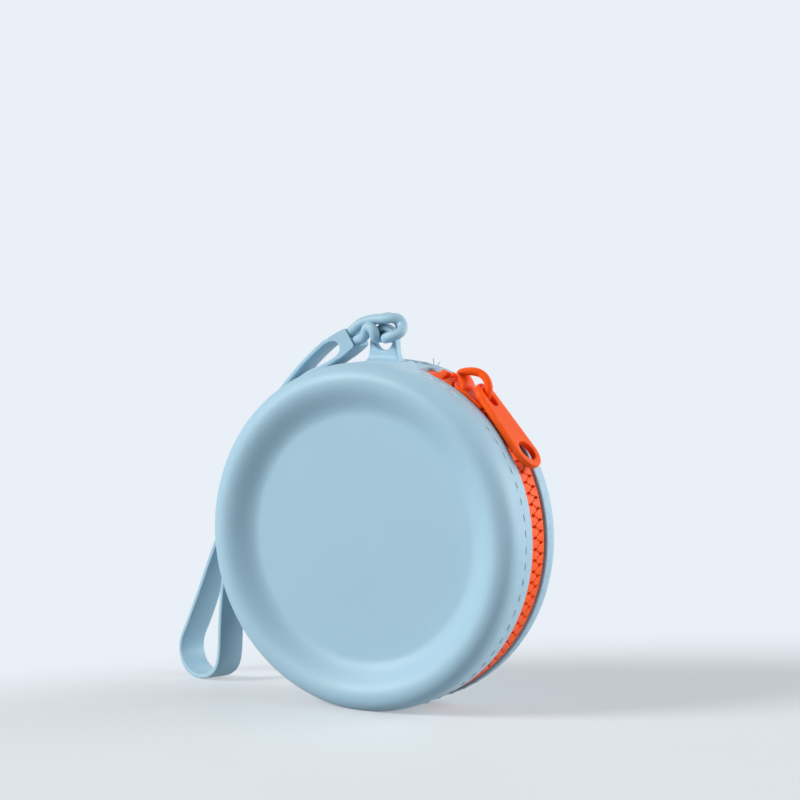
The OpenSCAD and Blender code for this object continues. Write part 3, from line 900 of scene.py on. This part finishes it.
def parting(clock):
    return PART_MAX * min(max((PART_TO - clock) / (PART_TO - PART_FROM), 0), 1)


def tooth_rise(clock):
    for (a, rise_a), (b, rise_b) in zip(TOOTH_RISES, TOOTH_RISES[1:]):
        if clock <= b:
            return rise_a + (rise_b - rise_a) * max(clock - a, 0) / (b - a)
    return 0


def zip_piece(name, bm, node, body, **settings):
    return finish_piece(name, bm, ORANGE, "zip_plastic", [node], body, **settings)


def tooth():
    """Front row tooth: base on the tape, narrow neck, and a head past the middle of the chain."""
    right = [
        (1.24, -CHAIN_HALF - 0.3), (1.24, -2.1), (0.95, -1.85), (0.86, -1.5),
        (0.98, -1.2), (1.12, -0.95), (1.0, -0.7), (0.66, -0.45),
        (0.56, -0.2), (0.6, 0.12), (0.48, 0.4), (0.2, 0.52),
    ]
    return plate(
        right + mirrored(right), [], -TOOTH_H / 2, TOOTH_H / 2, 0.16, segments=2,
        keep=lambda edge: edge.verts[0].co.z > 0,
    )


def tooth_rows():
    base = Matrix.Translation((0, -CHAIN_HALF, 0))
    for name, node, side, offset, body in (
        ("front_teeth", "teeth_front", -1, 0.75, "flap"),
        ("rear_teeth", "teeth_rear", 1, 0.25, "shell"),
    ):
        places = []
        for i in range(TOOTH_COUNT):
            clock = ROW_FROM + PITCH_ANGLE * (i + offset)
            rise = tooth_rise(clock)
            place = rim_place(clock, TOOTH_MID_R + rise, ZIP_Y + side * parting(clock))
            if side > 0:
                place = place @ Matrix.Rotation(math.pi, 4, "Z")
            tilt = Matrix.Rotation(math.radians(TOOTH_TILT) * max(rise, 0), 4, "X")
            places.append(place @ base @ tilt @ base.inverted())
        zip_piece(name, row_of(tooth(), places), node, body, merge=False, turn=False)


def stop_piece(name, node, body, clock, y0, y1):
    outline = box(-STOP_HALF_LEN, STOP_HALF_LEN, y0, y1)
    bm = plate(outline, [], -TOOTH_H / 2, TOOTH_H / 2, 0.25)
    place = rim_place(clock, TOOTH_MID_R + tooth_rise(clock))
    bmesh.ops.transform(bm, matrix=place, verts=bm.verts[:])
    zip_piece(name, bm, node, body)


def stops():
    top, end = SLOT_FROM + STOP_MID_ANGLE, SLOT_TO - STOP_MID_ANGLE
    wide = CHAIN_HALF + PART_MAX
    stop_piece("rear_top_stop", "top_stop_rear", "shell", top, ZIP_Y + STOP_GAP, ZIP_Y + wide)
    stop_piece("front_top_stop", "top_stop_front", "flap", top, ZIP_Y - wide, ZIP_Y - STOP_GAP)
    stop_piece("end_stop", "bottom_stop", "shell", end, ZIP_Y - CHAIN_HALF, ZIP_Y + CHAIN_HALF)


tooth_rows()
stops()


# Slider: pairs of R are the inner and outer face of a part

TOP_BLADE_R = (41.6, 42.5)
INNER_BLADE_R = (37.3, 38.7)
POST_R = (38.0, 42.0)
FLANGE_FROM = 2.3

# Flanges of the top and of the inner blade: sideways from and to, length to, pair of R
FLANGES = [(3.12, 3.5, 5.6, (40.3, 42.0)), (3.0, 4.1, 5.2, (38.0, 39.2))]


def blade_outline(nose, half_top, half_end, soft, front=-SLIDER_HALF_LEN, taper=2.3):
    """Narrow nose at the slider's mouth, full width where the rows part, and a narrower tail."""
    tail = SLIDER_HALF_LEN
    shoulder = front + taper
    flank = [
        (shoulder, half_top - 0.75), (shoulder + 1, half_top - 0.1), (shoulder + 1.7, half_top),
        (-0.5, half_top), (1.2, (half_top + half_end) / 2), (3, half_end),
    ]
    return (
        arc(front + soft, -nose + soft, soft, 180, 255, 4)
        + [(x, -y) for x, y in flank]
        + arc(tail - soft, -half_end + soft, soft, 270, 360, 5)
        + arc(tail - soft, half_end - soft, soft, 0, 90, 5)
        + flank[::-1]
        + arc(front + soft, nose - soft, soft, 105, 180, 4)
    )


def bent_plate(outline, radii, rounding, stations):
    """Plate bent round the body: X is length on the wall, Z is distance from the middle."""
    bm = plate(outline, [], *radii, rounding)
    slice_at(bm, ALONG_X, stations)
    for corner in bm.verts:
        x, y, z = corner.co
        angle = math.radians(SLIDER_CLOCK) + x / BODY_R
        corner.co = (z * math.sin(angle), y, z * math.cos(angle))
    bmesh.ops.translate(bm, verts=bm.verts[:], vec=(0, ZIP_Y, 0))
    return bm


def slider():
    top = blade_outline(2.2, 3.45, 3.2, 0.9, front=-4.3, taper=0.7)
    inner = blade_outline(3.4, 4.4, 4.1, 1.1)
    post = [(-5.6, -0.2), (-3.8, -0.3), (-3.8, 0.3), (-5.6, 0.2)]
    bm = bent_plate(top, TOP_BLADE_R, 0.32, range(-5, 6))
    gather(bm, bent_plate(inner, INNER_BLADE_R, 0.3, range(-5, 6)))
    gather(bm, bent_plate(post, POST_R, 0.08, [-5, -4.4]))
    for side in (-1, 1):
        for near, far, end, radii in FLANGES:
            outline = box(FLANGE_FROM, end, *sorted((side * near, side * far)))
            gather(bm, bent_plate(outline, radii, 0.1, [3.4, 4.5]))
    steady_shading(zip_piece("slider", bm, "slider_body", "slider", merge=False))


# Middle line of the hood, to the bail's own place: along the wall, outwards, half width, half
# thickness, and roundness of its section, which is an oval at 1 and boxier below that
HOOD_LINE = [
    (-1.9, 3.3, 1.5, 1.0, 1), (-3.05, 2.65, 2.1, 0.98, 0.9), (-4.05, 2.0, 2.4, 0.85, 0.8),
    (-4.65, 1.5, 2.5, 0.7, 0.75), (-4.72, 1.05, 2.55, 0.6, 0.7), (-4.15, 0.65, 2.6, 0.62, 0.7),
    (-3.2, 0.2, 2.65, 0.75, 0.7), (-2.3, -0.3, 2.7, 0.9, 0.7), (-1.7, -0.9, 2.8, 1.0, 0.7),
    (-1.5, -1.5, 2.9, 1.0, 0.7),
]
BAIL_PARTS = 3
BAIL_RING = 24
BAIL_FOOT = -1.6
BAIL_FOOT_STEP = 0.4


def bail_ring(middle, out, wide, thick, roundness):
    """Closed ring of points round the middle line, across it and along out."""
    spots = []
    for k in range(BAIL_RING):
        turn = 2 * math.pi * k / BAIL_RING
        rise, side = (
            math.copysign(abs(value) ** roundness, value)
            for value in (math.cos(turn), math.sin(turn))
        )
        spots.append(middle + out * (thick * rise) + Vector((0, wide * side, 0)))
    return spots


def bail():
    """Arch over the slider: a round bar that widens at the mouth into a hood, which folds
    back down to the blade."""
    base = rim_place(BAIL_CLOCK, BAIL_BASE_R, ZIP_Y)
    bar = (BAIL_BAR_R, BAIL_BAR_R, 1)
    line = [(BAIL_ARCH_R, BAIL_FOOT + BAIL_FOOT_STEP * k, *bar) for k in range(5)]
    line += [(x, z, *bar) for x, z in arc(0, 0, BAIL_ARCH_R, 0, 100, 16)[1:]]
    line += HOOD_LINE
    middles = smooth_route([(mark[0], 0, mark[1]) for mark in line], BAIL_PARTS)
    rings = []
    for i, middle in enumerate(middles):
        step, share = i // BAIL_PARTS, i % BAIL_PARTS / BAIL_PARTS
        before, after = line[step], line[min(step + 1, len(line) - 1)]
        section = [a + (b - a) * share for a, b in zip(before[2:], after[2:])]
        way = middles[min(i + 1, len(middles) - 1)] - middles[max(i - 1, 0)]
        out = Vector((way.z, 0, -way.x)).normalized()
        rings.append([base @ spot for spot in bail_ring(middle, out, *section)])
    zip_piece("bail", loft(rings), "slider_bail", "slider", sharp=SHARP_ROUND)


TAB_HALF_T = 0.8
TAB_BAR_HALF = 0.8
TAB_HEAD_R = 3.6
TAB_END_X = 19.0
TAB_END_R = 4.6
TAB_EYE_R = 2.65
TAB_WINDOW_R = 1.4
TAB_WINDOW_END_X = 4.6
TAB_SOFT = 0.42


def pull_tab():
    """Drawn flat from its crossbar at the middle to its round end."""
    head_x = TAB_HEAD_R - TAB_BAR_HALF
    window_x = TAB_WINDOW_R + TAB_BAR_HALF
    lean = math.degrees(math.asin((TAB_END_R - TAB_HEAD_R) / (TAB_END_X - head_x)))
    outline = (
        arc(head_x, 0, TAB_HEAD_R, 90 + lean, 270 - lean, 14)
        + arc(TAB_END_X, 0, TAB_END_R, -90 - lean, 90 + lean, 26)
    )
    window = (
        arc(window_x, 0, TAB_WINDOW_R, 90, 270, 10)
        + arc(TAB_WINDOW_END_X, 0, TAB_WINDOW_R, -90, 90, 10)
    )
    eye = circle(TAB_END_X, 0, TAB_EYE_R, 24)
    bm = plate(outline, [window, eye], -TAB_HALF_T, TAB_HALF_T, TAB_SOFT)
    tilt = Matrix.Rotation(math.radians(PULLER_TILT), 4, "Y")
    place = rim_place(PIVOT_CLOCK, PIVOT_R, ZIP_Y) @ tilt
    bmesh.ops.transform(bm, matrix=place, verts=bm.verts[:])
    steady_shading(zip_piece("pull_tab_piece", bm, "pull_tab", "puller"))


slider()
bail()
pull_tab()

for node in ("tape_rear", "tape_front"):
    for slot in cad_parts[node].material_slots:
        slot.material = TAPE


# Floor, light and background

BACK_COLOR = (0.82, 0.87, 0.93)
FLOOR_COLOR = (0.7, 0.745, 0.765)
BOUNCE_COLOR = (0.36, 0.385, 0.4)
WORLD_COLOR = (0.93, 0.96, 1)
WORLD_POWER = 0.07
LIGHT_AIM = Vector((0, 0, 0.04))

# The floor fades into the background over this distance in metres behind the part, sooner on
# the left, and a share of the background shows all over it
FADE_TURN = math.radians(30)
FADE_FROM = 0.03
FADE_TO = 0.11
FADE_LEFT = 0.6
FADE_LEAST = 0.4


def soft_light(name, place, size, power, color):
    light = bpy.data.lights.new(name, "AREA")
    light.shape = "DISK"
    light.size = size
    light.energy = power
    light.color = color
    lamp = bpy.data.objects.new(name, light)
    lamp.location = place
    lamp.rotation_euler = (LIGHT_AIM - Vector(place)).to_track_quat("-Z", "Y").to_euler()
    scene.collection.objects.link(lamp)


def pale_background(tree, shader_socket, output, color, factor=None):
    """Shows a flat pale colour to the camera and in reflections, and leaves the light alone."""
    path = add_node(tree, "ShaderNodeLightPath")
    seen = sums(tree, "MAXIMUM", path.outputs["Is Camera Ray"], path.outputs["Is Glossy Ray"])
    seen = sums(tree, "MAXIMUM", seen, path.outputs["Is Transmission Ray"])
    if factor is not None:
        seen = sums(tree, "MULTIPLY", seen, factor)
    glow = add_node(tree, "ShaderNodeEmission")
    set_inputs(glow, {"Color": (*color, 1)})
    mix = add_node(tree, "ShaderNodeMixShader")
    tree.links.new(seen, mix.inputs["Fac"])
    tree.links.new(shader_socket, mix.inputs[1])
    tree.links.new(glow.outputs[0], mix.inputs[2])
    tree.links.new(mix.outputs[0], output)


def distance_along(tree, x, y, way_x, way_y):
    return sums(tree, "MULTIPLY_ADD", y, way_y, sums(tree, "MULTIPLY", x, way_x))


def pale_floor():
    bm = bmesh.new()
    bmesh.ops.create_grid(bm, x_segments=8, y_segments=8, size=6)
    mesh = bpy.data.meshes.new("floor")
    bm.to_mesh(mesh)
    bm.free()
    floor = bpy.data.objects.new("floor", mesh)
    scene.collection.objects.link(floor)
    finish, tree, shader = new_finish("pale_floor", FLOOR_COLOR, 0.6)
    bounce = add_node(tree, "ShaderNodeLightPath").outputs["Is Diffuse Ray"]
    tint(tree, shader, bounce, FLOOR_COLOR, BOUNCE_COLOR)
    x, y = split(tree, object_place(tree))[:2]
    sine, cosine = math.sin(FADE_TURN), math.cos(FADE_TURN)
    back = distance_along(tree, x, y, -sine, cosine)
    left = sums(tree, "MAXIMUM", distance_along(tree, x, y, -cosine, -sine), 0)
    back = sums(tree, "MULTIPLY_ADD", left, FADE_LEFT, back)
    fade = add_node(tree, "ShaderNodeMapRange", interpolation_type="SMOOTHSTEP")
    set_inputs(fade, {"From Min": FADE_FROM, "From Max": FADE_TO, "To Min": FADE_LEAST})
    tree.links.new(back, fade.inputs["Value"])
    output = tree.nodes["Material Output"].inputs["Surface"]
    pale_background(tree, shader.outputs[0], output, BACK_COLOR, fade.outputs["Result"])
    mesh.materials.append(finish)


def pale_world():
    world = bpy.data.worlds.new("studio")
    scene.world = world
    world.use_nodes = True
    tree = world.node_tree
    light = tree.nodes["Background"]
    set_inputs(light, {"Color": (*WORLD_COLOR, 1), "Strength": WORLD_POWER})
    output = tree.nodes["World Output"].inputs["Surface"]
    pale_background(tree, light.outputs[0], output, BACK_COLOR)


pale_floor()
pale_world()
soft_light("key", (-1.33, -1.72, 1.256), 1.0, 66, (1, 0.975, 0.945))
soft_light("fill", (1.7, 0.6, 0.75), 1.6, 31, (1, 0.985, 0.98))
soft_light("edge", (1.25, 1.4, 0.3), 1.4, 11, (1, 0.985, 0.98))
scene.view_settings.view_transform = "Standard"
